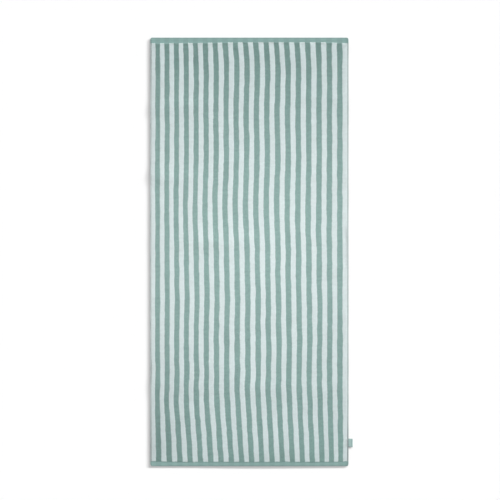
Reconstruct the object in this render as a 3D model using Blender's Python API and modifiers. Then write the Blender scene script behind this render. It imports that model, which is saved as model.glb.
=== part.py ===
"""A beach towel laid out flat, with a folded tab sewn into its right side seam.

The cloth is one solid. It is thick where it has loops, thinner in the plain hem at each
end and along the narrow seam of each long side, and it stands a little off the surface
in a few low ripples. +Y runs along the towel, +X across it and +Z up. The origin is the
middle of the surface under the whole object.
"""
from collections import namedtuple
from math import cos, hypot, pi, radians, sin

import bmesh
import bpy
import numpy as np

# Driving dimensions, in metres
LENGTH = 1.800  # from hem to hem
WIDTH = 0.832  # between the long sides
LOOP_THICKNESS = 0.0045  # the cloth where it has loops on both faces
CORNER_RADIUS = 0.008
ROW_STEP = 0.016  # mesh rows along the towel, close enough for the ripples
COLUMN_STEP = 0.042  # mesh columns across it

TAB_REACH = 0.018  # how far the tab stands out of the side
TAB_WIDTH = 0.0345  # along the side
TAB_Y = -0.8017  # its middle
TAB_RIBBON = 0.0005  # thickness of the ribbon that it is folded from
TAB_LAYER_STEP = 0.0009  # between the middles of its two layers
TAB_ROOT_Z = 0.0020  # height of its middle where it leaves the seam
TAB_TIP_Z = 0.0014  # height of its middle at the fold
TAB_SIDE_LEAN = 0.0010  # how far its tip is pulled towards -Y
SEAM_GAP = 0.0003  # between the tab's cut ends and the seam
TAB_RUNS = 4  # mesh steps along each layer
TAB_FOLD_STEPS = 6  # and round the fold

# The tab stands out on one side only, so the cloth lies off the middle by half of it.
TOWEL_X = -TAB_REACH / 2

# Linear colours: the mean of the pale and the green stripes, and the ribbon
TERRY_COLOUR = (0.45, 0.58, 0.56)
TERRY_ROUGHNESS = 0.95
RIBBON_COLOUR = (0.36, 0.50, 0.48)
RIBBON_ROUGHNESS = 0.55

# The section through an edge, from the rim inwards: how far in a mesh line runs, how
# high the underside is there and how thick the cloth is.
EdgeLine = namedtuple("EdgeLine", "inset under thick")
SIDE_SEAM = (
    EdgeLine(inset=0.0000, under=0.0014, thick=0.0012),
    EdgeLine(inset=0.0008, under=0.0004, thick=0.0031),
    EdgeLine(inset=0.0026, under=0.0000, thick=0.0039),
    EdgeLine(inset=0.0052, under=0.0000, thick=0.0033),
    EdgeLine(inset=0.0090, under=0.0000, thick=LOOP_THICKNESS),
)
END_HEM = (
    EdgeLine(inset=0.0000, under=0.0012, thick=0.0010),
    EdgeLine(inset=0.0008, under=0.0003, thick=0.0026),
    EdgeLine(inset=0.0026, under=0.0000, thick=0.0032),
    EdgeLine(inset=0.0146, under=0.0000, thick=0.0029),
    EdgeLine(inset=0.0168, under=0.0000, thick=0.0024),
    EdgeLine(inset=0.0225, under=0.0000, thick=LOOP_THICKNESS),
)

# The low ripples: the middle of each crest, half of its length and of its width, how far
# it is turned from straight across, and its height. Places are from the cloth's middle.
Ripple = namedtuple("Ripple", "x y half_length half_width turn_deg rise")
RIPPLES = (
    Ripple(x=-0.23, y=0.828, half_length=0.23, half_width=0.045, turn_deg=0, rise=0.0011),
    Ripple(x=0.20, y=0.815, half_length=0.21, half_width=0.050, turn_deg=-2, rise=0.0013),
    Ripple(x=-0.29, y=0.612, half_length=0.25, half_width=0.045, turn_deg=6, rise=0.0026),
    Ripple(x=0.31, y=0.640, half_length=0.17, half_width=0.050, turn_deg=-4, rise=0.0014),
    Ripple(x=-0.08, y=0.385, half_length=0.13, half_width=0.045, turn_deg=8, rise=0.0016),
    Ripple(x=-0.34, y=0.314, half_length=0.21, half_width=0.045, turn_deg=-5, rise=0.0024),
    Ripple(x=0.37, y=0.318, half_length=0.17, half_width=0.045, turn_deg=3, rise=0.0018),
    Ripple(x=-0.12, y=0.044, half_length=0.38, half_width=0.055, turn_deg=1, rise=0.0024),
    Ripple(x=0.38, y=-0.078, half_length=0.15, half_width=0.050, turn_deg=-6, rise=0.0018),
    Ripple(x=-0.10, y=-0.500, half_length=0.27, half_width=0.090, turn_deg=2, rise=0.0016),
    Ripple(x=0.00, y=-0.570, half_length=0.80, half_width=0.055, turn_deg=-1, rise=0.0018),
    Ripple(x=0.11, y=-0.820, half_length=0.42, half_width=0.120, turn_deg=3, rise=0.0032),
)


def clear_scene():
    for thing in list(bpy.data.objects):
        bpy.data.objects.remove(thing)


def plain_material(name, colour, roughness):
    """A cloth finish of one colour."""
    material = bpy.data.materials.new(name)
    material.use_nodes = True
    shader = material.node_tree.nodes["Principled BSDF"]
    shader.inputs["Base Color"].default_value = (*colour, 1.0)
    shader.inputs["Roughness"].default_value = roughness
    shader.inputs["Metallic"].default_value = 0.0
    return material


def hump(distance):
    """1 at the middle, falling softly to 0 at distance 1, and flat beyond."""
    return 0.5 + 0.5 * cos(pi * distance) if distance < 1 else 0.0


def ripple_height(x, y):
    """How far the cloth stands off the surface. Most of it doesn't."""
    height = 0.0
    for ripple in RIPPLES:
        turn = radians(ripple.turn_deg)
        dx = x - ripple.x
        dy = y - ripple.y
        along = abs(dx * cos(turn) + dy * sin(turn)) / ripple.half_length
        across = abs(dy * cos(turn) - dx * sin(turn)) / ripple.half_width
        height += ripple.rise * hump(along) * hump(across)
    return height


def section_at(edge, inset):
    """The underside's height and the thickness, at this distance in from an edge."""
    insets = [line.inset for line in edge]
    under = np.interp(inset, insets, [line.under for line in edge])
    thick = np.interp(inset, insets, [line.thick for line in edge])
    return float(under), float(thick)


def cloth_section(x, y):
    """The heights of the cloth's underside and of its top at a point."""
    side_under, side_thick = section_at(SIDE_SEAM, WIDTH / 2 - abs(x))
    end_under, end_thick = section_at(END_HEM, LENGTH / 2 - abs(y))
    under = max(side_under, end_under) + ripple_height(x, y)
    return under, under + min(side_thick, end_thick)


def rounded_corner(x, y):
    """Draws a point in a square corner in, so that the corner is round."""
    out_x = abs(x) - (WIDTH / 2 - CORNER_RADIUS)
    out_y = abs(y) - (LENGTH / 2 - CORNER_RADIUS)
    if out_x <= 0 or out_y <= 0:
        return x, y
    pull = 1 - max(out_x, out_y) / hypot(out_x, out_y)
    return x - pull * out_x * (1 if x > 0 else -1), y - pull * out_y * (1 if y > 0 else -1)


def cut_line(bm, along_y, place):
    """Adds a mesh line right across the sheet, at x = place or y = place."""
    point = (0, place, 0) if along_y else (place, 0, 0)
    normal = (0, 1, 0) if along_y else (1, 0, 0)
    geometry = bm.verts[:] + bm.edges[:] + bm.faces[:]
    bmesh.ops.bisect_plane(bm, geom=geometry, dist=1e-6, plane_co=point, plane_no=normal)


def make_towel(collection):
    """The cloth: a flat grid with close lines at its edges, extruded and then shaped."""
    bpy.ops.mesh.primitive_grid_add(
        x_subdivisions=round(WIDTH / COLUMN_STEP),
        y_subdivisions=round(LENGTH / ROW_STEP),
        size=1,
    )
    towel = bpy.context.object
    towel.name = "towel"
    towel.data.name = "towel"
    bm = bmesh.new()
    bm.from_mesh(towel.data)
    bmesh.ops.scale(bm, vec=(WIDTH, LENGTH, 1), verts=bm.verts)
    for end in (-1, 1):
        for line in SIDE_SEAM[1:]:
            cut_line(bm, False, end * (WIDTH / 2 - line.inset))
        for line in END_HEM[1:]:
            cut_line(bm, True, end * (LENGTH / 2 - line.inset))

    extruded = bmesh.ops.extrude_face_region(bm, geom=bm.faces[:], use_keep_orig=True)
    top = {item for item in extruded["geom"] if isinstance(item, bmesh.types.BMVert)}
    for vertex in bm.verts:
        x, y = vertex.co.x, vertex.co.y
        under, upper = cloth_section(x, y)
        x, y = rounded_corner(x, y)
        vertex.co = (x + TOWEL_X, y, upper if vertex in top else under)
    bmesh.ops.recalc_face_normals(bm, faces=bm.faces[:])
    bm.to_mesh(towel.data)
    bm.free()
    towel.data.shade_smooth()
    towel.data.materials.append(plain_material("striped_terry", TERRY_COLOUR, TERRY_ROUGHNESS))
    move_to(collection, towel)


def tab_path():
    """The ribbon's middle line in X and Z: out along the floor side, round and back."""
    root_x = TOWEL_X + WIDTH / 2 + SEAM_GAP
    fold_radius = TAB_LAYER_STEP / 2
    fold_x = TOWEL_X + WIDTH / 2 + TAB_REACH - fold_radius - TAB_RIBBON / 2
    middle = [
        (root_x + (fold_x - root_x) * share, TAB_ROOT_Z + (TAB_TIP_Z - TAB_ROOT_Z) * share)
        for share in np.linspace(0, 1, TAB_RUNS + 1)
    ]
    lower = [(x, z - fold_radius) for x, z in middle]
    upper = [(x, z + fold_radius) for x, z in reversed(middle)]
    fold = [
        (fold_x + fold_radius * cos(turn), TAB_TIP_Z + fold_radius * sin(turn))
        for turn in np.linspace(-pi / 2, pi / 2, TAB_FOLD_STEPS + 1)[1:-1]
    ]
    return lower + fold + upper


def make_side_tab(collection):
    """The tab: one length of ribbon folded in two, its cut ends at the side seam."""
    path = tab_path()
    root_x = path[0][0]
    bm = bmesh.new()
    line = [bm.verts.new((x, TAB_Y - TAB_WIDTH / 2, z)) for x, z in path]
    edges = [bm.edges.new(pair) for pair in zip(line, line[1:])]
    swept = bmesh.ops.extrude_edge_only(bm, edges=edges)
    far = [item for item in swept["geom"] if isinstance(item, bmesh.types.BMVert)]
    bmesh.ops.translate(bm, verts=far, vec=(0, TAB_WIDTH, 0))
    for vertex in bm.verts:
        vertex.co.y -= TAB_SIDE_LEAN * (vertex.co.x - root_x) / TAB_REACH
    bmesh.ops.recalc_face_normals(bm, faces=bm.faces[:])
    mesh = bpy.data.meshes.new("side_tab")
    bm.to_mesh(mesh)
    bm.free()
    tab = bpy.data.objects.new("side_tab", mesh)
    mesh.materials.append(plain_material("woven_ribbon", RIBBON_COLOUR, RIBBON_ROUGHNESS))
    bpy.context.scene.collection.objects.link(tab)
    thicken = tab.modifiers.new("ribbon", "SOLIDIFY")
    thicken.thickness = TAB_RIBBON
    thicken.offset = 0.0
    move_to(collection, tab)


def move_to(collection, thing):
    for old in list(thing.users_collection):
        old.objects.unlink(thing)
    collection.objects.link(thing)


def main():
    clear_scene()
    collection = bpy.data.collections.new("beach_towel")
    bpy.context.scene.collection.children.link(collection)
    make_towel(collection)
    make_side_tab(collection)


main()
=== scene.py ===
# %% [markdown]
# # A striped beach towel, laid out flat
#
# The real towel is one length of terry cloth. Its loops are dyed in two colours before the
# weaving, so the stripes run the whole length. Each end is woven flat in the green alone and
# turned into a hem, each long side is turned into a narrow seam, and a short folded ribbon
# is caught in the right seam near the bottom end.
#
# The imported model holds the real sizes: one solid for the cloth and one for the ribbon tab.
# Everything below is placed from their two boxes.

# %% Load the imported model
from collections import namedtuple
from math import cos, pi, radians, sin

import bpy
import numpy as np
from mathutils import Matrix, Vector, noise


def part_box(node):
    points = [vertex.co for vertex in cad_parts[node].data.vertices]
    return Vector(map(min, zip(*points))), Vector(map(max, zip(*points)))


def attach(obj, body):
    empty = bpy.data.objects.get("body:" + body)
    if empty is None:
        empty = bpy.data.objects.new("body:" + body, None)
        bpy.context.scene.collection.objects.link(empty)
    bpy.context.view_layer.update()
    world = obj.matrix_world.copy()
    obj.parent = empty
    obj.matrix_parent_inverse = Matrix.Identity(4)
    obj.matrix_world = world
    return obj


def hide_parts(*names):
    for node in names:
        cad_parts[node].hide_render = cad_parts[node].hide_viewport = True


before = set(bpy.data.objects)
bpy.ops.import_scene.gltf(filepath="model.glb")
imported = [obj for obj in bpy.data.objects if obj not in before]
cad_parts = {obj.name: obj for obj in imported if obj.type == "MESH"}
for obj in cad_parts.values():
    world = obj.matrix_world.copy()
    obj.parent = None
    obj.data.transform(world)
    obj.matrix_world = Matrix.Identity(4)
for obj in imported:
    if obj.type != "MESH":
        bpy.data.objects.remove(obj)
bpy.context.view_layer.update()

MM = 0.001
towel_low, towel_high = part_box("towel")
tab_low, tab_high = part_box("side_tab")
WIDTH = towel_high.x - towel_low.x
LENGTH = towel_high.y - towel_low.y
MID_X = (towel_low.x + towel_high.x) / 2
print(f"cloth {WIDTH / MM:.0f} x {LENGTH / MM:.0f} mm, its middle at x {MID_X / MM:.1f} mm")

# %% [markdown]
# ## The camera
#
# The photograph looks straight down, so the camera does too. A long lens from high up keeps
# the edges of the towel parallel. The scale comes from one length that is known in both: the
# towel is 1.80 m long, and it covers 428.5 pixels of the picture.

# %% Camera
PHOTO_SIDE = 500
PHOTO_LENGTH = 428.5  # pixels from hem to hem
PHOTO_MIDDLE = (249.40, 251.85)  # the cloth's middle, in pixels from the left and the top
LENS = 100
SENSOR = 36
RIM_HEIGHT = 2 * MM  # of the hems' rims, between which the length is measured

metres_per_pixel = LENGTH / PHOTO_LENGTH
camera = bpy.data.objects.new("camera", bpy.data.cameras.new("camera"))
camera.data.lens = LENS
camera.data.sensor_width = SENSOR
camera.location = (
    MID_X + (PHOTO_SIDE / 2 - PHOTO_MIDDLE[0]) * metres_per_pixel,
    (PHOTO_MIDDLE[1] - PHOTO_SIDE / 2) * metres_per_pixel,
    RIM_HEIGHT + PHOTO_SIDE * metres_per_pixel * LENS / SENSOR,
)
bpy.context.scene.collection.objects.link(camera)
bpy.context.scene.camera = camera
print(f"camera {camera.location.z:.2f} m up, {metres_per_pixel / MM:.2f} mm a pixel")

# %% [markdown]
# ## The floor and the light
#
# A white floor and a soft studio light. A pale sky fills the shadows. A round lamp over the
# middle makes the towel brightest there, as in the picture. It is linked to the towel's own
# pieces, so the floor stays evenly white.
#
# A wide, low softbox at the top right draws the thin soft shadow along the left side and
# under the bottom hem. It is built from three suns side by side. The lower a sun stands and
# the more it shines from the right, the further the left edge's shadow reaches: at 9 degrees
# a 4 mm edge casts about 22 mm. All three reach equally far down past the bottom hem, so
# the shadow is wide and soft at the left, and narrow and firmer there.

# %% Floor, sky and lights
FLOOR_SIDE = 30
FLOOR_DROP = 0.2 * MM  # keeps the floor off the cloth's underside
FLOOR_WHITE = (0.93, 0.93, 0.93, 1)
SKY_STRENGTH = 0.575
HORIZON_STRENGTH = 0.92
HORIZON_FADES = 0.35  # how high up it ends, 1 being straight up
MIDDLE_LAMP = dict(place=(0.05, 0.06, 1.0), across=0.5, watts=3.1)
LowLight = namedtuple("LowLight", "elevation turn softness strength")
LOW_LIGHTS = (
    LowLight(elevation=14.9, turn=54, softness=7.0, strength=2.00),
    LowLight(elevation=11.1, turn=37, softness=5.6, strength=2.68),
    LowLight(elevation=9.0, turn=29, softness=4.6, strength=3.28),
)
SUN_PLACE = (3, 2, 1)  # any place: a sun shines the same everywhere


def plain_floor():
    bpy.ops.object.select_all(action="DESELECT")
    bpy.ops.mesh.primitive_plane_add(size=FLOOR_SIDE, location=(0, 0, -FLOOR_DROP))
    floor = bpy.context.object
    floor.name = "floor"
    finish = bpy.data.materials.new("white_floor")
    finish.use_nodes = True
    shader = finish.node_tree.nodes["Principled BSDF"]
    shader.inputs["Base Color"].default_value = FLOOR_WHITE
    shader.inputs["Roughness"].default_value = 0.9
    shader.inputs["Specular IOR Level"].default_value = 0.1
    floor.data.materials.append(finish)


def pale_sky():
    """Brighter at the horizon than overhead, as the walls of a white studio are."""
    world = bpy.data.worlds.new("studio")
    bpy.context.scene.world = world
    world.use_nodes = True
    nodes, links = world.node_tree.nodes, world.node_tree.links
    place = nodes.new("ShaderNodeTexCoord")
    split = nodes.new("ShaderNodeSeparateXYZ")
    blend = nodes.new("ShaderNodeMapRange")
    blend.inputs["From Max"].default_value = HORIZON_FADES
    blend.inputs["To Min"].default_value = HORIZON_STRENGTH
    blend.inputs["To Max"].default_value = SKY_STRENGTH
    links.new(place.outputs["Generated"], split.inputs[0])
    links.new(split.outputs["Z"], blend.inputs["Value"])
    links.new(blend.outputs[0], nodes["Background"].inputs["Strength"])
    nodes["Background"].inputs["Color"].default_value = (1, 1, 1, 1)


def add_lamp(name, kind, place, turn, power):
    lamp = bpy.data.objects.new(name, bpy.data.lights.new(name, kind))
    lamp.data.energy = power
    lamp.location = place
    lamp.rotation_euler = turn
    lamp.visible_camera = False
    bpy.context.scene.collection.objects.link(lamp)
    return lamp


plain_floor()
pale_sky()
middle_lamp = add_lamp("middle_lamp", "AREA", MIDDLE_LAMP["place"], (0, 0, 0), MIDDLE_LAMP["watts"])
middle_lamp.data.shape = "DISK"
middle_lamp.data.size = MIDDLE_LAMP["across"]
for number, light in enumerate(LOW_LIGHTS):
    tilt = (0, radians(90 - light.elevation), radians(light.turn))
    low_light = add_lamp(f"low_light_{number + 1}", "SUN", SUN_PLACE, tilt, light.strength)
    low_light.data.angle = radians(light.softness)
lit_pieces = bpy.data.collections.new("lit_by_middle_lamp")
middle_lamp.light_linking.receiver_collection = lit_pieces
bpy.context.scene.view_settings.view_transform = "Standard"
print(f"floor, sky, middle lamp and {len(LOW_LIGHTS)} low lights")

# %% [markdown]
# ## The shape of the cloth
#
# A towel that has been spread by hand is never quite flat. It has low ripples, most of them
# straight across, where the cloth stands a few millimetres off the surface. Each is a soft
# hump with a place, a length, a width, a turn and a height, as in the solid. Between them
# the cloth lies on the floor.
#
# The edges have a section of their own. A hem is two layers of flat weave turned under the
# cloth, so it is firm and thin, with a groove where it is sewn. The side seam is narrower.
# Both are rounded at the rim.

# %% Ripples and edge sections
Ripple = namedtuple("Ripple", "x y half_length half_width turn_deg rise")
RIPPLES = (
    Ripple(x=-0.23, y=0.828, half_length=0.23, half_width=0.045, turn_deg=0, rise=0.0011),
    Ripple(x=0.20, y=0.815, half_length=0.21, half_width=0.050, turn_deg=-2, rise=0.0013),
    Ripple(x=-0.29, y=0.612, half_length=0.25, half_width=0.045, turn_deg=6, rise=0.0026),
    Ripple(x=0.31, y=0.640, half_length=0.17, half_width=0.050, turn_deg=-4, rise=0.0014),
    Ripple(x=-0.08, y=0.385, half_length=0.13, half_width=0.045, turn_deg=8, rise=0.0016),
    Ripple(x=-0.34, y=0.314, half_length=0.21, half_width=0.045, turn_deg=-5, rise=0.0024),
    Ripple(x=0.37, y=0.318, half_length=0.17, half_width=0.045, turn_deg=3, rise=0.0018),
    Ripple(x=-0.12, y=0.044, half_length=0.38, half_width=0.055, turn_deg=1, rise=0.0024),
    Ripple(x=0.38, y=-0.078, half_length=0.15, half_width=0.050, turn_deg=-6, rise=0.0018),
    Ripple(x=-0.10, y=-0.500, half_length=0.27, half_width=0.090, turn_deg=2, rise=0.0016),
    Ripple(x=0.00, y=-0.570, half_length=0.80, half_width=0.055, turn_deg=-1, rise=0.0018),
    Ripple(x=0.11, y=-0.820, half_length=0.42, half_width=0.120, turn_deg=3, rise=0.0032),
)
GROUND = 3.0  # mm from the underside to the feet of the loops on top

# From the rim inwards, in mm: how far in, the top's height and the underside's, if not 0
EdgeLine = namedtuple("EdgeLine", "inset top under", defaults=(0.0,))
SIDE_SEAM = (
    EdgeLine(inset=0.0, top=2.60, under=1.30),
    EdgeLine(inset=0.2, top=3.10, under=0.80),
    EdgeLine(inset=0.6, top=3.50, under=0.35),
    EdgeLine(inset=1.3, top=3.80, under=0.08),
    EdgeLine(inset=2.4, top=3.90),
    EdgeLine(inset=3.5, top=3.70),
    EdgeLine(inset=4.4, top=3.30),
    EdgeLine(inset=5.4, top=3.10),
    EdgeLine(inset=8.0, top=GROUND),
)
END_HEM = (
    EdgeLine(inset=0.0, top=2.10, under=1.10),
    EdgeLine(inset=0.2, top=2.50, under=0.70),
    EdgeLine(inset=0.6, top=2.85, under=0.30),
    EdgeLine(inset=1.3, top=3.10, under=0.08),
    EdgeLine(inset=2.4, top=3.20),
    EdgeLine(inset=9.0, top=3.15),
    EdgeLine(inset=13.6, top=3.05),
    EdgeLine(inset=14.8, top=2.85),
    EdgeLine(inset=15.8, top=2.70),
    EdgeLine(inset=16.8, top=2.85),
    EdgeLine(inset=18.4, top=GROUND),
)


def hump(distance):
    """1 at the middle, falling softly to 0 at distance 1, and flat beyond."""
    return np.where(distance < 1, 0.5 + 0.5 * np.cos(pi * np.minimum(distance, 1)), 0.0)


def ripple_height(x, y):
    """How far the cloth stands off the floor at places measured from its middle."""
    height = np.zeros_like(x)
    for ripple in RIPPLES:
        turn = radians(ripple.turn_deg)
        dx, dy = x - ripple.x, y - ripple.y
        along = np.abs(dx * cos(turn) + dy * sin(turn)) / ripple.half_length
        across = np.abs(dy * cos(turn) - dx * sin(turn)) / ripple.half_width
        height += ripple.rise * hump(along) * hump(across)
    return height


def edge_heights(edge, inset):
    """The heights of the underside and of the top, this far in from an edge."""
    insets = [line.inset * MM for line in edge]
    under = np.interp(inset, insets, [line.under * MM for line in edge])
    top = np.interp(inset, insets, [line.top * MM for line in edge])
    return under, top


print(f"{len(RIPPLES)} ripples, the highest {max(r.rise for r in RIPPLES) / MM:.1f} mm")

# %% [markdown]
# On top of the ripples, terry is uneven at the scale of a fingertip. The loops pack closer
# in one place than in the next, and the weft draws the cloth into short, faint wrinkles
# that lie across the towel. Blender's noise gives both: one that is the same each way, and
# one that is stretched across. They fade out towards the firm hems and seams.

# %% Heights of the two faces
WRINKLE = 0.34 * MM
WRINKLE_SIZE = (0.050, 0.011)  # metres across the towel and along it
LUMP = 0.22 * MM
LUMP_SIZE = (0.017, 0.015)
FIRM_SIDE = 6 * MM  # how far in from a side, and from an end, the cloth stays smooth
FIRM_END = 18 * MM
FADE_IN = 12 * MM


def soft_noise(x, y, size, layer):
    """Noise from about -1 to 1, with bumps of this size; each layer is another pattern."""
    return np.array([noise.noise((a / size[0], b / size[1], layer)) for a, b in zip(x, y)])


def face_heights(x, y):
    """The heights of the cloth's underside and top at places from its middle."""
    side, end = WIDTH / 2 - np.abs(x), LENGTH / 2 - np.abs(y)
    side_under, side_top = edge_heights(SIDE_SEAM, side)
    end_under, end_top = edge_heights(END_HEM, end)
    rise = ripple_height(x, y)
    inside = np.clip(np.minimum(side - FIRM_SIDE, end - FIRM_END) / FADE_IN, 0, 1)
    uneven = WRINKLE * soft_noise(x, y, WRINKLE_SIZE, layer=3.0)
    uneven += LUMP * soft_noise(x, y, LUMP_SIZE, layer=9.0)
    under = np.maximum(side_under, end_under) + rise
    return under, np.minimum(side_top, end_top) + rise + uneven * inside


print(f"wrinkles of {WRINKLE / MM:.2f} mm and lumps of {LUMP / MM:.2f} mm")

# %% [markdown]
# ## The sheet
#
# The cloth starts as a grid primitive in which each row and column is moved to its real
# line: close together at the rims and grooves, about 14 mm apart elsewhere. In edit mode the
# whole grid is extruded upwards, which closes it into a slab. Then every point gets its
# height, and the square corners are drawn in to a small radius.

# %% Grid and extrusion
CELL = 14.0 * MM
CORNER_RADIUS = 8.0 * MM
SLAB = 0.1  # tells the top points from the others until they are shaped


def mesh_lines(size, edge):
    """Where the grid's lines are: an edge's own at both ends, and even ones between."""
    insets = [line.inset * MM for line in edge]
    inner = size / 2 - insets[-1]
    even = np.linspace(-inner, inner, round(2 * inner / CELL) + 1)
    left = [-size / 2 + inset for inset in insets[:-1]]
    right = [size / 2 - inset for inset in reversed(insets[:-1])]
    return np.array([*left, *even, *right])


def read_points(mesh):
    points = np.empty(len(mesh.vertices) * 3)
    mesh.vertices.foreach_get("co", points)
    return points.reshape(-1, 3)


def write_points(mesh, points):
    mesh.vertices.foreach_set("co", np.asarray(points, float).ravel())
    mesh.update()


def make_slab(name, columns, rows):
    """A closed slab with a mesh line at each of these places."""
    bpy.ops.object.select_all(action="DESELECT")
    bpy.ops.mesh.primitive_grid_add(
        x_subdivisions=len(columns) - 1, y_subdivisions=len(rows) - 1, size=1
    )
    slab = bpy.context.object
    slab.name = slab.data.name = name
    unit = read_points(slab.data)
    column = np.rint((unit[:, 0] + 0.5) * (len(columns) - 1)).astype(int)
    row = np.rint((unit[:, 1] + 0.5) * (len(rows) - 1)).astype(int)
    write_points(slab.data, np.c_[columns[column], rows[row], np.zeros(len(unit))])
    bpy.ops.object.mode_set(mode="EDIT")
    bpy.ops.mesh.select_all(action="SELECT")
    bpy.ops.mesh.extrude_region_move(TRANSFORM_OT_translate={"value": (0, 0, SLAB)})
    bpy.ops.object.mode_set(mode="OBJECT")
    return slab


def round_corners(x, y):
    """Draws the points of each square corner in, so that it becomes round."""
    out_x = np.maximum(np.abs(x) - (WIDTH / 2 - CORNER_RADIUS), 0)
    out_y = np.maximum(np.abs(y) - (LENGTH / 2 - CORNER_RADIUS), 0)
    reach = np.maximum(np.hypot(out_x, out_y), 1e-9)
    pull = np.where((out_x > 0) & (out_y > 0), 1 - np.maximum(out_x, out_y) / reach, 0)
    return x - pull * out_x * np.sign(x), y - pull * out_y * np.sign(y)


towel = make_slab("towel_cloth", mesh_lines(WIDTH, SIDE_SEAM), mesh_lines(LENGTH, END_HEM))
flat = read_points(towel.data)
on_top = flat[:, 2] > SLAB / 2
print(f"{len(flat)} points, {on_top.sum()} of them on top")

# %% Shape the slab
under, top = face_heights(flat[:, 0], flat[:, 1])
round_x, round_y = round_corners(flat[:, 0], flat[:, 1])
shaped = np.c_[round_x + MID_X, round_y, np.where(on_top, top, under)]
write_points(towel.data, shaped)
towel.data.shade_smooth()
print(f"cloth from {shaped[:, 2].min() / MM:.2f} to {shaped[:, 2].max() / MM:.2f} mm high")

# %% [markdown]
# ## Where the stripes run
#
# The stripes are part of the weave, so they follow the cloth and not the floor. There are 39
# of them, 20 pale and 19 green, about 21.6 mm wide. Those at the left are a little narrower,
# drawn in by the seam. Spreading the towel by hand has pushed the cloth sideways. The rows
# below say where, how far each push reaches each way, and how far it goes, in mm to the
# right. Near the bottom hem the whole cloth leans to the right as well.
#
# A UV map is the natural home for this. One unit across is one stripe and one unit along is
# one metre, so the map alone tells a shader its stripe.

# %% Stripes and the sideways pushes
STRIPES = 39
FIRST_STRIPE = 20.2 * MM
FULL_STRIPE = 21.61 * MM
DRAWN_IN = 1.9 * MM  # how much narrower the stripes are at the left
EASES_OVER = 15  # stripes, until they have their full width

Push = namedtuple("Push", "x y reach_x reach_y shift")
PUSHES = (
    Push(x=0.00, y=0.93, reach_x=0.60, reach_y=0.19, shift=-6.8),
    Push(x=0.05, y=0.57, reach_x=0.34, reach_y=0.20, shift=-4.6),
    Push(x=-0.28, y=0.62, reach_x=0.20, reach_y=0.10, shift=-1.2),
    Push(x=-0.02, y=0.20, reach_x=0.50, reach_y=0.23, shift=-7.2),
    Push(x=-0.20, y=-0.16, reach_x=0.32, reach_y=0.15, shift=2.6),
    Push(x=0.04, y=-0.22, reach_x=0.30, reach_y=0.10, shift=2.6),
    Push(x=0.12, y=-0.41, reach_x=0.30, reach_y=0.21, shift=4.2),
    Push(x=-0.36, y=-0.622, reach_x=0.10, reach_y=0.07, shift=-6.5),
    Push(x=-0.26, y=-0.65, reach_x=0.24, reach_y=0.13, shift=-2.8),
    Push(x=-0.25, y=0.14, reach_x=0.10, reach_y=0.13, shift=-2.6),
    Push(x=0.10, y=0.93, reach_x=0.55, reach_y=0.12, shift=-3.0),
    Push(x=0.30, y=-0.29, reach_x=0.15, reach_y=0.14, shift=2.6),
    Push(x=0.14, y=-0.90, reach_x=0.30, reach_y=0.16, shift=-2.4),
    Push(x=0.24, y=0.86, reach_x=0.20, reach_y=0.12, shift=-2.6),
    Push(x=-0.37, y=0.54, reach_x=0.10, reach_y=0.09, shift=2.4),
    Push(x=0.01, y=0.39, reach_x=0.12, reach_y=0.10, shift=-2.0),
    Push(x=-0.33, y=0.27, reach_x=0.09, reach_y=0.06, shift=-2.0),
    Push(x=0.26, y=0.10, reach_x=0.17, reach_y=0.11, shift=-2.4),
    Push(x=0.16, y=-0.08, reach_x=0.09, reach_y=0.07, shift=-1.8),
    Push(x=0.04, y=-0.15, reach_x=0.08, reach_y=0.06, shift=2.4),
    Push(x=-0.30, y=-0.23, reach_x=0.20, reach_y=0.12, shift=2.2),
    Push(x=0.30, y=-0.22, reach_x=0.11, reach_y=0.10, shift=2.8),
    Push(x=0.24, y=-0.37, reach_x=0.10, reach_y=0.06, shift=2.4),
    Push(x=-0.26, y=-0.51, reach_x=0.22, reach_y=0.06, shift=2.8),
    Push(x=0.01, y=-0.51, reach_x=0.12, reach_y=0.06, shift=2.6),
    Push(x=-0.33, y=-0.65, reach_x=0.15, reach_y=0.08, shift=-2.2),
    Push(x=0.25, y=-0.62, reach_x=0.20, reach_y=0.12, shift=2.4),
    Push(x=-0.396, y=0.74, reach_x=0.03, reach_y=0.46, shift=10.0),
    Push(x=-0.396, y=0.11, reach_x=0.03, reach_y=0.15, shift=7.5),
    Push(x=-0.396, y=-0.50, reach_x=0.03, reach_y=0.08, shift=9.0),
    Push(x=-0.396, y=-0.71, reach_x=0.03, reach_y=0.08, shift=-4.0),
    Push(x=-0.396, y=-0.85, reach_x=0.03, reach_y=0.06, shift=5.0),
    Push(x=0.392, y=-0.86, reach_x=0.03, reach_y=0.10, shift=-10.0),
)
LEAN_FROM = -0.55  # metres from the middle, where the cloth starts to lean
LEAN_TO = 22 * MM - LENGTH / 2  # at the bottom hem, where it leans furthest
LEAN_SHIFT = 20.5  # mm to the right, there
LEAN_CURVE = 1.2  # 1 is a straight slant, and more curves it
SEAM_HOLD = 3.2  # the higher, the closer to the seams the pushes reach


def sideways(x, y):
    """How far the cloth has been pushed to the right at places from its middle."""
    shift = np.zeros_like(x)
    for push in PUSHES:
        near_x = hump(np.abs(x - push.x) / push.reach_x)
        near_y = hump(np.abs(y - push.y) / push.reach_y)
        shift += push.shift * near_x * near_y
    depth = np.clip((LEAN_FROM - y) / (LEAN_FROM - LEAN_TO), 0, 1)
    shift += LEAN_SHIFT * depth**LEAN_CURVE
    free = 1 - np.abs(x / (WIDTH / 2)) ** SEAM_HOLD  # the side seams hold the cloth
    return shift * free * MM


def stripe_number(x, y):
    """The place across the stripes: 0 at the left edge and 39 at the right one."""
    steps = np.arange(STRIPES - 1)
    widths = FULL_STRIPE - DRAWN_IN * np.maximum(0, 1 - steps / EASES_OVER)
    widths[0] = FIRST_STRIPE
    widths = np.append(widths, WIDTH - widths.sum())  # the last one takes the rest
    borders = np.append(0, np.cumsum(widths))
    return np.interp(x + WIDTH / 2 - sideways(x, y), borders, np.arange(STRIPES + 1))


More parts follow.
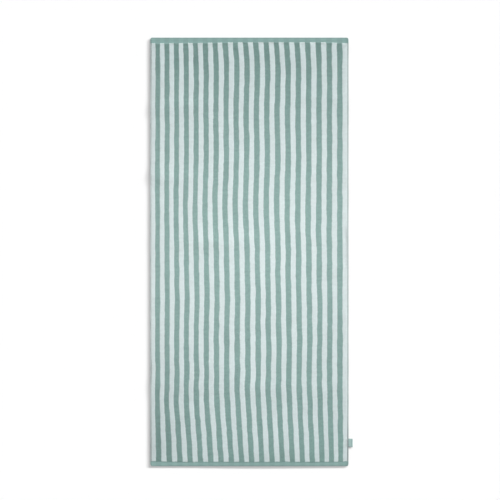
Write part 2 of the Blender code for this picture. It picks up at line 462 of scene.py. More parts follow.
print(f"{STRIPES} stripes of {FULL_STRIPE / MM:.1f} mm, leaning {LEAN_SHIFT} mm at the bottom")

# %% [markdown]
# At each end a band of plain green weave follows, which is turned into the hem. The rows
# below are the places where it is deeper: at which end, where along it, how far the place
# reaches each way, and by how much, in mm. The map stretches the weave by that little, so
# a shader finds the ends of all the stripes at one depth.

# %% Where the stripes end
HEM_DEPTH = 18.4 * MM  # the least depth of the plain band at an end
HemWave = namedtuple("HemWave", "end x reach deeper")
HEM_WAVES = (
    HemWave(end=1, x=0.00, reach=2.00, deeper=1.7),
    HemWave(end=1, x=-0.42, reach=0.46, deeper=4.8),
    HemWave(end=1, x=0.42, reach=0.13, deeper=4.2),
    HemWave(end=-1, x=-0.42, reach=0.14, deeper=2.6),
    HemWave(end=-1, x=0.14, reach=0.07, deeper=1.4),
    HemWave(end=-1, x=0.42, reach=0.06, deeper=2.6),
)


def hem_depth(x, y):
    """How far in the stripes start, as the end isn't turned in quite straight."""
    depth = np.full_like(x, HEM_DEPTH)
    for wave in HEM_WAVES:
        near = hump(np.abs(x - wave.x) / wave.reach)
        depth += wave.deeper * MM * near * (y * wave.end > 0)
    return depth


def weave_along(x, y):
    """The place along the weave, stretched so that the stripes start in one line."""
    extra = hem_depth(x, y) - HEM_DEPTH
    return LENGTH / 2 + y * (1 + extra / (LENGTH / 2))


print(f"hems {HEM_DEPTH / MM:.1f} mm deep, and deeper at {len(HEM_WAVES)} places")

# %% [markdown]
# A second map, called OFBake, lays a piece out in one square image. A towel has two
# faces that are each twice as long as wide, so they fit side by side in a square: the top
# in its right half and the underside in its left. The narrow wall round the rim would have
# no width if it were seen from straight above, so it is folded out by 3 mm.

# %% The cloth's two maps
MAP_MARGIN = 8 * MM
WALL_FOLD = 3 * MM


def write_map(mesh, name, across, along):
    """A UV map with these values, given for each face corner."""
    layer = mesh.uv_layers.new(name=name)
    layer.uv.foreach_set("vector", np.c_[across, along].astype(np.float32).ravel())


def corner_points(mesh):
    """The point that each face corner belongs to."""
    corner = np.empty(len(mesh.loops), np.int32)
    mesh.loops.foreach_get("vertex_index", corner)
    return corner


def within(place, low, high):
    """Places as shares of the way from low to high, with a margin beyond each."""
    return (place - low + MAP_MARGIN) / (high - low + 2 * MAP_MARGIN)


def map_cloth(mesh):
    """Makes both maps, and gives the number of faces that lie wholly on top."""
    corner = corner_points(mesh)
    face_of = np.repeat(np.arange(len(mesh.polygons)), 4)
    top_corners = on_top[corner]
    tops = np.bincount(face_of, top_corners)
    top_face = tops[face_of] > 0
    wall_foot = top_face & ~top_corners
    x, y = flat[corner, 0], flat[corner, 1]
    write_map(mesh, "weave", stripe_number(x, y), weave_along(x, y))
    at_side = np.abs(x) > WIDTH / 2 - 1e-6
    at_end = np.abs(y) > LENGTH / 2 - 1e-6
    x = x + np.sign(x) * WALL_FOLD * (wall_foot & at_side)
    y = y + np.sign(y) * WALL_FOLD * (wall_foot & at_end)
    across = (within(x, -WIDTH / 2, WIDTH / 2) + top_face) / 2
    write_map(mesh, "OFBake", across, within(y, -LENGTH / 2, LENGTH / 2))
    return int((tops == 4).sum())


for old_map in list(towel.data.uv_layers):
    towel.data.uv_layers.remove(old_map)
print(f"maps on {len(towel.data.polygons)} faces, {map_cloth(towel.data)} of them on top")

# %% [markdown]
# ## Shader maths in plain expressions
#
# A material is a graph, and long graphs are hard to read as code. This small class wraps a
# socket, so that `1 - mask * 0.2` adds the Math nodes that it needs. Every other node comes
# from the method `node`, which is told its type, settings and inputs. A `Fade` holds the
# four numbers of a ramp.

# %% A wire between nodes
class Wire:
    """An output socket that can be used in an expression."""

    def __init__(self, socket):
        self.socket = socket
        self.tree = socket.id_data

    def node(self, kind, settings=None, inputs=None, output=0):
        """Adds a node, sets it up, joins or sets its inputs, and gives one output."""
        made = self.tree.nodes.new("ShaderNode" + kind)
        for name, value in (settings or {}).items():
            setattr(made, name, value)
        for name, value in (inputs or {}).items():
            if isinstance(value, Wire):
                self.tree.links.new(value.socket, made.inputs[name])
            else:
                made.inputs[name].default_value = value
        return Wire(made.outputs[output])

    def math(self, operation, *values):
        return self.node("Math", {"operation": operation}, dict(enumerate(values)))

    def __add__(self, other):
        return self.math("ADD", self, other)

    def __sub__(self, other):
        return self.math("SUBTRACT", self, other)

    def __rsub__(self, other):
        return self.math("SUBTRACT", other, self)

    def __mul__(self, other):
        return self.math("MULTIPLY", self, other)

    __radd__ = __add__
    __rmul__ = __mul__

    def __abs__(self):
        return self.math("ABSOLUTE", self)

    def wave(self, length):
        """A sine wave of the number on this wire, which repeats over this length."""
        return self.math("SINE", self * (2 * pi / length))

    def axis(self, number):
        """One number of the place on this wire."""
        return self.node("SeparateXYZ", {}, {0: self}, number)

    def ramp(self, low, high, start=0.0, end=1.0):
        """start below low, end above high, and a smooth rise between them."""
        ends = {"From Min": low, "From Max": high, "To Min": start, "To Max": end}
        return self.node(
            "MapRange", {"interpolation_type": "SMOOTHSTEP"}, {"Value": self, **ends}
        )

    def blend(self, first, second):
        """A number from first, where the wire is 0, to second, where it is 1."""
        return first + self * (second - first)

    def colour(self, first, second):
        """A colour from first, where the wire is 0, to second, where it is 1."""
        return self.node("Mix", {"data_type": "RGBA"}, {0: self, 6: first, 7: second}, 2)

    def dimmed(self, factor):
        """The colour on this wire, times a number."""
        return self.node("VectorMath", {"operation": "SCALE"}, {0: self, "Scale": factor})

    def cloud(self, across, along=None, detail=2.0):
        """Noise from 0 to 1, with this many bumps a metre across and, if it differs, along."""
        bumps = (across, along or across, across)
        place = self.node("VectorMath", {"operation": "MULTIPLY"}, {0: self, 1: bumps})
        return self.node("TexNoise", {}, {"Vector": place, "Scale": 1.0, "Detail": detail})


Fade = namedtuple("Fade", "low high start end", defaults=(0.0, 1.0))


def new_finish(name, roughness, sheen, specular=0.5):
    """A material, its shader, and a wire that holds the place on the object."""
    material = bpy.data.materials.new(name)
    material.use_nodes = True
    shader = material.node_tree.nodes["Principled BSDF"]
    shader.inputs["Roughness"].default_value = roughness
    shader.inputs["Sheen Weight"].default_value = sheen
    shader.inputs["Specular IOR Level"].default_value = specular
    place = material.node_tree.nodes.new("ShaderNodeTexCoord").outputs["Object"]
    return material, shader, Wire(place)


def plug(wire, shader, name):
    wire.tree.links.new(wire.socket, shader.inputs[name])


def bump(height, strength=1.0):
    """A normal from a height in metres."""
    return height.node("Bump", {}, {"Height": height, "Distance": 1.0, "Strength": strength})


print("shader helpers ready")

# %% [markdown]
# ## The terry
#
# Terry has a matt, deep look. Light gets caught between the loops, so the gaps are darker
# than the tips, and no two loops stand alike. Its finish is built up over five cells.
#
# The yarn's colour comes from the stripe number in the weave map. A stripe's edge is never
# quite straight, as each loop leans a little over it: one slow noise bends the edge by
# about a millimetre and one fine noise frays it. Towards the ends both colours get painted
# shade, which adds to the light's fall-off there, most in the green and at the top end. Near
# the bottom painted shade darkens the left, and painted light makes the green lighter further
# right. The first loops below the top hem get painted shade as well.

# %% The striped yarn
PALE = (0.687, 0.761, 0.762, 1)
GREEN = (0.292, 0.433, 0.408, 1)
# Painted shade towards the two ends, where the light falls off: the green deepens and the pale
# turns a little stronger
END_PALE_SHADED = (0.686, 0.775, 0.778, 1)
END_GREEN_SHADED = (0.227, 0.361, 0.335, 1)
PALE_UNEVEN = 0.15  # from the darkest loops to the lightest
GREEN_UNEVEN = 0.32
PATCHES = (40, 90)  # bumps a metre, across and along
EDGE_BEND = 0.30  # of a stripe's width
EDGE_BENDS = (38, 18)
EDGE_FRAY = 0.16
EDGE_FRAYS = 420
YARN_CHANGE = Fade(0.475, 0.555)  # on a wave from 0, in mid-green, to 1, in mid-pale
FIRST_ROWS_SHADE = Fade(2 * MM, 13 * MM, start=0.89)  # painted shade on the loops below the top hem, which the light catches
# Painted shade and light, by the distance from the cloth's middle: upwards, and for the last two to
# the right
TOP_GREEN_SHADE = Fade(0.74, 0.86, start=1.0, end=0.95)
PAINTED_FOOT = Fade(-0.88, -0.30, start=1.0, end=0.0)
PALE_FOOT_LIGHT = Fade(-0.42, -0.14, start=-0.08, end=-0.005)  # painted shade below 0 and light above 0, from the left to the right
GREEN_FOOT_LIGHT = Fade(-0.42, -0.14, start=-0.12, end=0.08)


def stripe_mask(place, count):
    """1 in the pale stripes and 0 in the green ones."""
    bend = (place.cloud(*EDGE_BENDS) - 0.5) * EDGE_BEND
    fray = (place.cloud(EDGE_FRAYS) - 0.5) * EDGE_FRAY
    wave = count.math("PINGPONG", count + bend + fray + 0.5, 1.0)
    return wave.ramp(*YARN_CHANGE)


def right_of_middle(place):
    """How far a place is to the right of the cloth's middle."""
    return place.axis(0) - MID_X


def painted_foot_light(place, left_to_right):
    """Painted shade and light near the bottom, which change from the left to the right."""
    return 1 + place.axis(1).ramp(*PAINTED_FOOT) * right_of_middle(place).ramp(*left_to_right)


def striped_yarn(place, count, along, uneven):
    """The stripes: one pair of colours in the middle and one with painted shade at the ends, both
    uneven.
    """
    outward = (along - LENGTH / 2) * (2 / LENGTH)
    near_end = outward * outward
    # Near the bottom: painted shade at the left, and painted light on the green further right
    pale_tone = painted_foot_light(place, PALE_FOOT_LIGHT) * (1 + uneven * PALE_UNEVEN)
    green_tone = painted_foot_light(place, GREEN_FOOT_LIGHT) * (1 + uneven * GREEN_UNEVEN)
    # Painted shade on the green near the top end
    green_tone = green_tone * place.axis(1).ramp(*TOP_GREEN_SHADE)
    # Painted shade: the colours towards the two ends, where the light falls off
    pale = near_end.colour(PALE, END_PALE_SHADED).dimmed(pale_tone)
    green = near_end.colour(GREEN, END_GREEN_SHADED).dimmed(green_tone)
    # Painted shade on the first loops below the top hem, which the light catches
    first_rows_shade = (LENGTH - HEM_DEPTH - along).ramp(*FIRST_ROWS_SHADE)
    return stripe_mask(place, count).colour(green, pale).dimmed(first_rows_shade)


print(f"yarn, uneven by {PALE_UNEVEN:.0%} and {GREEN_UNEVEN:.0%}")

# %% [markdown]
# Within the hems the loops give way to a flat weave in the green alone. The weave map's
# second number says how near the end is. Painted shade darkens the outer fold, above all at
# the top, and the whole bottom hem a little. Each hem is a little lighter where a pale stripe
# runs into it, and the bottom one gets painted light beside the loops, against the shadow
# that they cast on it.

# %% The plain hems
HEM_GREEN = (0.212, 0.333, 0.314, 1)
RIM_SHADE_GREEN = (0.188, 0.285, 0.270, 1)  # painted shade along the hem's outer fold
RIM_SHADE_REACH = Fade(1.5 * MM, 6.0 * MM)
# By the distance from the bottom end: how faint the rim's shade is, and the painted shade and light
# on a hem
FAINT_RIM_SHADE = Fade(0.0, LENGTH, start=0.8, end=0.0)
HEM_SHADE = Fade(0.0, LENGTH, start=0.97)
LIT_BESIDE_LOOPS_TONE = Fade(0.1, 0.2, start=0.16, end=0.0)
LIT_BESIDE_LOOPS = Fade(-6.5 * MM, -1.5 * MM)  # where the painted light is, from the stripes' ends
HEM_STRIPES = 0.07  # how much lighter a hem is where a pale stripe runs into it
HEM_UNEVEN = 0.10
HEM_FRAY = 2.4 * MM  # how far the edge of the loops wavers
HEM_FRAYS = 160
LAST_LOOPS = Fade(-0.4 * MM, 0.4 * MM)
SPECKS = 330


def terry_colour(place, count, along):
    """The stripes with the hems' plain weave, and a mask that is 1 where there are loops."""
    frayed = (place.cloud(HEM_FRAYS) - 0.5) * HEM_FRAY
    to_stripes = LENGTH / 2 - abs(along - LENGTH / 2) - HEM_DEPTH
    loops = (to_stripes + frayed).ramp(*LAST_LOOPS)
    patchy = place.cloud(*PATCHES, detail=3.0) - 0.5
    speckled = place.cloud(SPECKS, detail=1.0) - 0.5
    striped = striped_yarn(place, count, along, patchy + speckled)
    # Painted shade along the hems' outer folds, fainter at the bottom
    rim = (LENGTH / 2 - abs(place.axis(1)) + frayed).ramp(*RIM_SHADE_REACH)
    rim = along.ramp(*FAINT_RIM_SHADE).blend(rim, 1.0)
    # Painted shade on the bottom hem, and random unevenness
    tone = along.ramp(*HEM_SHADE) + patchy * HEM_UNEVEN
    tone = tone + (stripe_mask(place, count) - 0.5) * HEM_STRIPES
    # Painted light beside the loops on the bottom hem, against their cast shadow
    tone = tone + to_stripes.ramp(*LIT_BESIDE_LOOPS) * along.ramp(*LIT_BESIDE_LOOPS_TONE)
    hem = rim.colour(RIM_SHADE_GREEN, HEM_GREEN).dimmed(tone)
    return loops.colour(hem, striped), loops


print(f"hems, frayed by {HEM_FRAY / MM:.1f} mm where the loops start")

# %% [markdown]
# Each side is turned in and sewn down, which leaves a narrow band without loops. Painted
# shade makes it deeper in tone than the stripes, most of all in the fold at its rim, at the
# right and towards the ends.

# %% The turned-in sides
SEAM_DEPTH = 6.0 * MM
SEAM_EDGE = Fade(SEAM_DEPTH - 0.8 * MM, SEAM_DEPTH + 0.8 * MM)
FOLD = Fade(0.8 * MM, 2.6 * MM)
# Painted shade: the factors for the fold and for the band, at each side
Seam = namedtuple("Seam", "fold band")
LEFT_SEAM = Seam(fold=0.62, band=0.92)
RIGHT_SEAM = Seam(fold=0.39, band=0.68)
LEFT_ENDS_SHADE = Fade(0.55, 0.88, start=1.0, end=0.66)  # painted shade of the left seam towards its ends
RIGHT_FOOT_SHADE = Fade(-0.86, -0.60, start=0.60)  # painted shade of the right seam, from its bottom end up
IN_HEM = Fade(18 * MM, 24 * MM, start=0.75, end=0.0)  # how much of the shade a hem hides


def seam_shade(place):
    """Painted shade: less than 1 on the narrow seams along the sides, and least along the folds."""
    across, along = right_of_middle(place), place.axis(1)
    right = across.ramp(-MM, MM)
    tone = right.blend(abs(along).ramp(*LEFT_ENDS_SHADE), along.ramp(*RIGHT_FOOT_SHADE))
    fold = right.blend(LEFT_SEAM.fold, RIGHT_SEAM.fold) * (0.5 + 0.5 * tone)
    band = right.blend(LEFT_SEAM.band, RIGHT_SEAM.band) * tone
    to_side = WIDTH / 2 - abs(across)
    shade = to_side.ramp(*FOLD).blend(fold, band)
    shade = (LENGTH / 2 - abs(along)).ramp(*IN_HEM).blend(shade, 1.0)
    return to_side.ramp(*SEAM_EDGE).blend(shade, 1.0)


print(f"seams {SEAM_DEPTH / MM:.0f} mm wide")

# %% [markdown]
# Sewing has puckered the sides in four places, one of them where the ribbon is caught. The
# puckers are not modelled: they get painted shade. Each row gives a pucker's middle, half of
# its length and how far it fades out, in metres, then how far it lies from the side and half
# of its width, in mm, and how much painted shade it gets.

# %% Puckers along the sides
TAB_Y = (tab_low.y + tab_high.y) / 2
Pucker = namedtuple("Pucker", "y half_length fade inset half_width deeper")
LEFT_PUCKERS = (
    Pucker(y=-0.50, half_length=0.02, fade=0.06, inset=4.5, half_width=1.6, deeper=0.28),
    Pucker(y=0.53, half_length=0.02, fade=0.06, inset=4.5, half_width=1.6, deeper=0.08),
)
RIGHT_PUCKERS = (
    Pucker(y=0.015, half_length=0.065, fade=0.04, inset=8.0, half_width=2.5, deeper=0.13),
    Pucker(y=TAB_Y, half_length=0.013, fade=0.005, inset=8.0, half_width=1.9, deeper=0.2),
)
PUCKER_FADE = 2 * MM  # across the seam
RIGHT_EDGE_SHADE = Fade(5 * MM, 20 * MM, start=0.92)  # painted shade on the loops beside the right seam


def pucker_shade(place, to_side, puckers):
    """How much painted shade the cloth gets where sewing has drawn its edge together."""
    depth = 0.0
    for pucker in puckers:
        length, width = pucker.half_length, pucker.half_width * MM
        off_along = abs(place.axis(1) - pucker.y)
        off_across = abs(to_side - pucker.inset * MM)
        near = off_along.ramp(length, length + pucker.fade, pucker.deeper, 0.0)
        depth = near * off_across.ramp(width, width + PUCKER_FADE, 1.0, 0.0) + depth
    return depth


def painted_edge_shade(place):
    """Painted shade, deeper towards the right seam and at the puckers."""
    to_right = WIDTH / 2 - right_of_middle(place)
    to_left = WIDTH / 2 + right_of_middle(place)
    tone = to_right.ramp(*RIGHT_EDGE_SHADE)
    tone = tone - pucker_shade(place, to_right, RIGHT_PUCKERS)
    return tone - pucker_shade(place, to_left, LEFT_PUCKERS)


print(f"{len(LEFT_PUCKERS) + len(RIGHT_PUCKERS)} puckers")

# %% [markdown]
# The shader puts these together. Its bump is the height of the curls of yarn between the
# loops, which a smooth Voronoi texture gives, and in the hems the over and under of threads.

# %% Terry material
YARN = dict(roughness=0.95, sheen=0.15, specular=0.15)  # matt cotton, with a little down
CURL = 1.5 * MM  # across one curl
CURL_DEPTH = 0.4 * MM
CURL_SOFTNESS = 0.7  # from 0, crisp, to 1
THREAD_PITCH = 0.9 * MM  # of the flat weave in the hems
THREAD_DEPTH = 0.02 * MM


def make_terry():
    material, shader, place = new_finish("striped_terry", **YARN)
    weave_map = place.node("UVMap", {"uv_map": "weave"})
    colour, loops = terry_colour(place, weave_map.axis(0), weave_map.axis(1))
    # Painted shade on the seams, beside the right seam and at the puckers
    plug(colour.dimmed(seam_shade(place) * painted_edge_shade(place)), shader, "Base Color")
    curl_inputs = {"Vector": place, "Scale": 1 / CURL, "Smoothness": CURL_SOFTNESS}
    curls = place.node("TexVoronoi", {"feature": "SMOOTH_F1"}, curl_inputs)
    threads = place.axis(0).wave(THREAD_PITCH) * place.axis(1).wave(THREAD_PITCH)
    height = loops.blend(threads * THREAD_DEPTH, (1 - curls) * CURL_DEPTH)
    plug(bump(height), shader, "Normal")
    return material


terry = make_terry()
towel.data.materials.append(terry)
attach(towel, "root")
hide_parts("towel")
lit_pieces.objects.link(towel)
print(f"terry with {len(terry.node_tree.nodes)} nodes")

# %% [markdown]
# ## The pile
#
# Seen close, terry is a field of loops. Each is a short length of yarn that comes up out of
# the ground weave, bends over and goes back in. A bump alone would leave the towel flat in
# a side view, so the loops are real here. One loop is a strip of three faces, bent over
# like a hoop. It is modelled once, from a grid of three cells: the two inner rows of points
# are raised in edit mode.
#
# A flat strip would glint like folded paper. So its points get normals of their own, which
# lean out to both sides as on round yarn, and a little upwards.

# %% One loop
LOOP_SPAN = 3.5 * MM
LOOP_BREADTH = 1.35 * MM
LOOP_RISE = 1.65 * MM
LOOP_SUNK = 0.2 * MM  # how far its feet go into the ground weave
ROUNDNESS = 0.9  # how far the normals lean out, beside their own length of 1
UPWARD = 0.6  # and how far up

bpy.ops.object.select_all(action="DESELECT")
bpy.ops.mesh.primitive_grid_add(x_subdivisions=3, y_subdivisions=1, size=1)
one_loop = bpy.context.object
bpy.ops.transform.resize(value=(LOOP_SPAN, LOOP_BREADTH, 1))
bpy.ops.object.transform_apply(scale=True)
for part in (*one_loop.data.edges, *one_loop.data.polygons):
    part.select = False
for point in one_loop.data.vertices:
    point.select = abs(point.co.x) < LOOP_SPAN / 4
bpy.ops.object.mode_set(mode="EDIT")
bpy.ops.mesh.select_mode(type="VERT")
bpy.ops.transform.translate(value=(0, 0, LOOP_RISE))
bpy.ops.object.mode_set(mode="OBJECT")
loop_points = read_points(one_loop.data)
loop_faces = np.array([list(face.vertices) for face in one_loop.data.polygons])
loop_normals = np.array([list(point.normal) for point in one_loop.data.vertices])
loop_normals[:, 1] += ROUNDNESS * np.sign(loop_points[:, 1])
loop_normals[:, 2] += UPWARD
bpy.data.objects.remove(one_loop)
print(f"one loop: {len(loop_points)} points and {len(loop_faces)} faces")

# %% [markdown]
# The loops stand in rows, as the weave holds them, but each is a little off its place. Each
# is also turned, leans its own way and has its own size. Numpy moves all the copies at once,
# which is much faster than a Python loop. A loop takes one place in the weave map for all
# of its corners, so it keeps to one stripe, and stripes end in whole loops, as real ones do.
#
# The last loops before a hem or a seam are lower, and along a hem the pile's edge wavers.
# A piece can have 200,000 triangles, so the pile is made in five bands, side by side.

# %% Scatter the loops
PILE_BANDS = 5
PILE_PITCH = 3.12 * MM
PILE_JITTER = 0.38  # of the pitch
WAVER = 3.2 * MM  # of the pile's edge along a hem
WAVER_SIZE = (0.012, 0.4)  # metres across the towel and along it
SIZE_RANGE = (0.85, 1.15)  # of a loop, beside the one above
LEAN_RANGE = (-0.45, 0.45)  # how far its top leans, as a share of its height
LOW_START = 0.7  # the height of the loops beside a hem or seam, as a share
LOW_REACH = 3 * MM
random = np.random.default_rng(11)


def scatter_places():
    """Where the loops stand, measured from the cloth's middle."""
    across = WIDTH - 2 * SEAM_DEPTH
    along = LENGTH - 2 * (HEM_DEPTH - WAVER)
    columns, rows = round(across / PILE_PITCH), round(along / PILE_PITCH)
    x, y = np.meshgrid((np.arange(columns) + 0.5) / columns, (np.arange(rows) + 0.5) / rows)
    x, y = (x.ravel() - 0.5) * across, (y.ravel() - 0.5) * along
    x += random.uniform(-PILE_JITTER, PILE_JITTER, len(x)) * PILE_PITCH
    y += random.uniform(-PILE_JITTER, PILE_JITTER, len(y)) * PILE_PITCH
    edge = hem_depth(x, y) + WAVER * soft_noise(x, y, WAVER_SIZE, layer=5.0)
    kept = LENGTH / 2 - np.abs(y) > edge
    return x[kept], y[kept]


def turned(points, turn):
    """Rows of points, each row turned about Z by its own angle."""
    cosine, sine = np.cos(turn)[:, None], np.sin(turn)[:, None]
    across = points[:, :, 0] * cosine - points[:, :, 1] * sine
    along = points[:, :, 0] * sine + points[:, :, 1] * cosine
    return np.stack([across, along, points[:, :, 2]], axis=2)


def scatter_loops(x, y):
    """All the loops at these places: their points and normals, as loops, points and axes."""
    count = len(x)
    turn = random.uniform(0, 2 * pi, count)
    size = random.uniform(*SIZE_RANGE, (count, 3))
    lean = random.uniform(*LEAN_RANGE, (count, 2))
    to_hem = LENGTH / 2 - np.abs(y) - hem_depth(x, y)
    to_border = np.maximum(np.minimum(WIDTH / 2 - np.abs(x) - SEAM_DEPTH, to_hem), 0)
    size[:, 2] *= np.interp(to_border, (0, LOW_REACH), (LOW_START, 1.0))
    points = loop_points[None] * size[:, None]
    points[:, :, :2] += points[:, :, 2:] * lean[:, None]
    places = np.stack([x + MID_X, y, face_heights(x, y)[1] - LOOP_SUNK], axis=1)
    normals = turned(np.repeat(loop_normals[None], count, axis=0), turn)
    return turned(points, turn) + places[:, None], normals


def joined_mesh(name, points, normals, faces):
    """One mesh from many copies of a small one, each with points of its own."""
    count, size = points.shape[:2]
    every = (faces[None] + (np.arange(count) * size)[:, None, None]).reshape(-1, 4)
    mesh = bpy.data.meshes.new(name)
    mesh.vertices.add(count * size)
    mesh.vertices.foreach_set("co", points.ravel())
    mesh.loops.add(every.size)
    mesh.loops.foreach_set("vertex_index", every.ravel().astype(np.int32))
    mesh.polygons.add(len(every))
    mesh.polygons.foreach_set("loop_start", np.arange(0, every.size, 4, dtype=np.int32))
    mesh.update(calc_edges=True)
    mesh.shade_smooth()
    mesh.normals_split_custom_set_from_vertices(normals.reshape(-1, 3))
    return mesh


def map_pile(mesh, x, y, left, right):
    """The loops' own place in the weave, and a bake place that fills the image."""
    per_loop = loop_faces.size
    number = np.repeat(stripe_number(x, y), per_loop)
    write_map(mesh, "weave", number, np.repeat(weave_along(x, y), per_loop))
    points = read_points(mesh)[corner_points(mesh)]
    across = within(points[:, 0] - MID_X, left, right)
    write_map(mesh, "OFBake", across, within(points[:, 1], -LENGTH / 2, LENGTH / 2))


place_x, place_y = scatter_places()
order = np.argsort(place_x, kind="stable")
pile = []
for number, chosen in enumerate(np.array_split(order, PILE_BANDS)):
    x, y = place_x[chosen], place_y[chosen]
    mesh = joined_mesh(f"pile_{number + 1}", *scatter_loops(x, y), loop_faces)
    map_pile(mesh, x, y, x.min(), x.max())
    band = bpy.data.objects.new(mesh.name, mesh)
    bpy.context.scene.collection.objects.link(band)
    pile.append(band)
print(f"{len(place_x)} loops, {len(pile[0].data.polygons) * 2} triangles in the first band")

# %% [markdown]
# The loops have the colours of the stripes. White noise that reads the weave map gives one
# random number a loop, so some are a shade lighter than their neighbours.

# %% Pile material
FIBRES = 2600  # bumps a metre
FIBRE_DEPTH = 0.12 * MM


def make_pile_finish():
    material, shader, place = new_finish("terry_pile", **YARN)
    weave_map = place.node("UVMap", {"uv_map": "weave"})
    own = place.node("TexWhiteNoise", {}, {"Vector": weave_map})
    uneven = place.cloud(*PATCHES, detail=3.0) + own - 1
    striped = striped_yarn(place, weave_map.axis(0), weave_map.axis(1), uneven)
    # Painted shade beside the right seam and at the puckers
    plug(striped.dimmed(painted_edge_shade(place)), shader, "Base Color")
    plug(bump(place.cloud(FIBRES, detail=1.0) * FIBRE_DEPTH), shader, "Normal")
    return material


pile_finish = make_pile_finish()
for band in pile:
    band.data.materials.append(pile_finish)
    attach(band, "root")
    lit_pieces.objects.link(band)
print("pile material")

# %% [markdown]
# ## The stitches
#
# A hem is held by one row of lockstitch, a little inside its inner fold, and each side by a
# row along its seam. A stitch shows as a short thread that dips into the cloth at both
# ends. It starts as a small sphere, drawn out long and thin. An Array modifier copies it
# along a line, and then each point is lifted by the height of the cloth under it.

# %% Rows of stitches
STITCH_LENGTH = 2.7 * MM
STITCH_PITCH = 3.5 * MM
THREAD = 0.6 * MM
HEM_ROW = 15.8 * MM  # from the end
SIDE_ROW = 4.4 * MM  # from the side
ROW_MARGIN = 7.0 * MM  # from a corner


def sew_row(name, length, place, lengthwise):
    """A straight row of stitches at this place from the middle, laid on the cloth."""
    bpy.ops.object.select_all(action="DESELECT")
    bpy.ops.mesh.primitive_ico_sphere_add(subdivisions=1, radius=0.5)
    row = bpy.context.object
    row.name = row.data.name = name
    bpy.ops.transform.resize(value=(STITCH_LENGTH, THREAD, THREAD))
    bpy.ops.object.transform_apply(scale=True)
    copies = row.modifiers.new("row", "ARRAY")
    copies.count = int((length - 2 * ROW_MARGIN) / STITCH_PITCH)
    copies.use_relative_offset = False
    copies.use_constant_offset = True
    copies.constant_offset_displace = (STITCH_PITCH, 0, 0)
    bpy.ops.object.modifier_apply(modifier="row")
    points = read_points(row.data)
    run = points[:, 0] - points[:, 0].mean()
    off = points[:, 1] + place
    x, y = (off, run) if lengthwise else (run, off)
    write_points(row.data, np.c_[x + MID_X, y, face_heights(x, y)[1] + points[:, 2] + THREAD / 4])
    row.data.shade_smooth()
    return row


stitches = [
    sew_row("top_hem_stitches", WIDTH, LENGTH / 2 - HEM_ROW, lengthwise=False),
    sew_row("bottom_hem_stitches", WIDTH, HEM_ROW - LENGTH / 2, lengthwise=False),
    sew_row("left_seam_stitches", LENGTH, SIDE_ROW - WIDTH / 2, lengthwise=True),
    sew_row("right_seam_stitches", LENGTH, WIDTH / 2 - SIDE_ROW, lengthwise=True),
]
print("triangles in the rows:", [len(row.data.polygons) for row in stitches])

# %% [markdown]
# Sewing thread is smoother and tighter than the yarn, so it is a little less rough. Its
# twist shows as fine slanted lines.

# %% Thread material
THREAD_GREEN = (0.230, 0.355, 0.337, 1)
THREAD_SHADE = (0.180, 0.280, 0.268, 1)
THREAD_TONES = 500  # bumps a metre
TWIST = 0.45 * MM
TWIST_DEPTH = 0.02 * MM


def make_thread_finish():
    material, shader, place = new_finish("sewing_thread", roughness=0.75, sheen=0.1)
    plug(place.cloud(THREAD_TONES).colour(THREAD_GREEN, THREAD_SHADE), shader, "Base Color")
    twist = (place.axis(0) + place.axis(1)).wave(TWIST)
    plug(bump(twist * TWIST_DEPTH), shader, "Normal")
    return material


thread_finish = make_thread_finish()
for row in stitches:
    row.data.materials.append(thread_finish)
    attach(row, "root")
    lit_pieces.objects.link(row)
print("thread material")

# %% [markdown]
# ## The side tab
#
# The tab is one length of smooth ribbon, folded in two and caught in the side seam by its
# cut ends. Its face is bare. The ribbon is a grid whose columns are rolled along the fold:
# out along the lower layer, round, and back along the upper one. Solidify gives it the
# thickness of the ribbon.

# %% Folded ribbon
RIBBON = 0.45 * MM  # its thickness
RIBBON_COLUMNS, RIBBON_ROWS = 40, 16
FOLD_RADIUS = 0.45 * MM
TAB_ROOT_Z, TAB_TIP_Z = 2.0 * MM, 1.4 * MM  # heights of its middle at the seam and the fold
TAB_LEAN = 1.0 * MM  # how far the fold is pulled towards the bottom
tab_width = tab_high.y - tab_low.y - TAB_LEAN


def roll_ribbon(share):
    """The place along the ribbon, from 0 at the lower cut end to 1 at the upper, as x and z."""
    reach = tab_high.x - tab_low.x - FOLD_RADIUS - RIBBON / 2
    around = pi * FOLD_RADIUS
    travelled = share * (2 * reach + around)
    turn = np.clip((travelled - reach) / FOLD_RADIUS, 0, pi) - pi / 2
    out = np.where(travelled < reach + around / 2, travelled, 2 * reach + around - travelled)
    out = np.minimum(out, reach)
    middle = TAB_ROOT_Z + (TAB_TIP_Z - TAB_ROOT_Z) * out / reach
    x = tab_low.x + out + FOLD_RADIUS * np.cos(turn)
    return x - FOLD_RADIUS * (out < reach) * np.cos(turn), middle + FOLD_RADIUS * np.sin(turn)


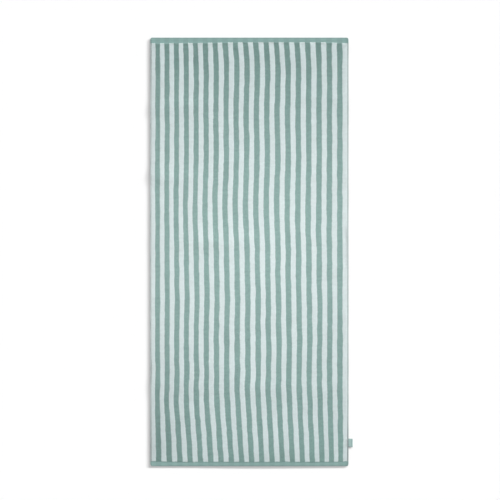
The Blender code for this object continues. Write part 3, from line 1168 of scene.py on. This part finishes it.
bpy.ops.object.select_all(action="DESELECT")
bpy.ops.mesh.primitive_grid_add(x_subdivisions=RIBBON_COLUMNS, y_subdivisions=RIBBON_ROWS, size=1)
tab = bpy.context.object
tab.name = tab.data.name = "ribbon_tab"
unit = read_points(tab.data)
x, z = roll_ribbon(unit[:, 0] + 0.5)
pulled = TAB_LEAN * (x - tab_low.x) / (tab_high.x - tab_low.x)
y = (tab_low.y + TAB_LEAN + tab_high.y) / 2 + unit[:, 1] * tab_width - pulled
write_points(tab.data, np.c_[x, y, z])
thicken = tab.modifiers.new("ribbon", "SOLIDIFY")
thicken.thickness = RIBBON
thicken.offset = 0.0
bpy.ops.object.modifier_apply(modifier="ribbon")
tab.data.shade_smooth()
print(f"ribbon tab, {len(tab.data.polygons)} faces, {tab_width / MM:.0f} mm wide")

# %% [markdown]
# Satin ribbon has fine ribs across it and a soft shine along them. The ribs are a sine wave
# of the place along the ribbon. The woven edges are a little darker, and painted shade
# darkens the part near the fold.

# %% Ribbon material
RIBBON_COLOUR = (0.300, 0.420, 0.405, 1)
RIBBON_SHADE = (0.235, 0.340, 0.325, 1)
EDGE_SHADE = Fade(0.6 * MM, 2.2 * MM, start=0.6, end=0.0)  # from a woven edge inwards
FOLD_SHADE = Fade(4.5 * MM, 9.0 * MM, start=0.7, end=0.0)  # painted shade, from the fold
CLOUD_SHADE = 0.4
RIBBON_CLOUDS = (260, 900)  # bumps a metre, across and along
RIBBON_ROUGH = (0.42, 0.62)
RIB_PITCH = 0.7 * MM
RIB_DEPTH = 0.03 * MM


def make_ribbon_finish():
    material, shader, place = new_finish("woven_ribbon", roughness=0.5, sheen=0.2)
    cloud = place.cloud(*RIBBON_CLOUDS)
    to_edge = tab_width / 2 - abs(place.axis(1) - TAB_Y)
    to_fold = tab_high.x - place.axis(0)
    # Random clouds, darker woven edges, and painted shade near the fold
    shade = cloud * CLOUD_SHADE + to_edge.ramp(*EDGE_SHADE) + to_fold.ramp(*FOLD_SHADE)
    plug(shade.colour(RIBBON_COLOUR, RIBBON_SHADE), shader, "Base Color")
    plug(cloud.blend(*RIBBON_ROUGH), shader, "Roughness")
    ribs = place.axis(0).wave(RIB_PITCH) + place.axis(1).wave(RIB_PITCH / 2) * 0.5
    plug(bump(ribs * RIB_DEPTH), shader, "Normal")
    return material


tab.data.materials.append(make_ribbon_finish())
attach(tab, "root")
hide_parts("side_tab")
lit_pieces.objects.link(tab)
print("ribbon material")
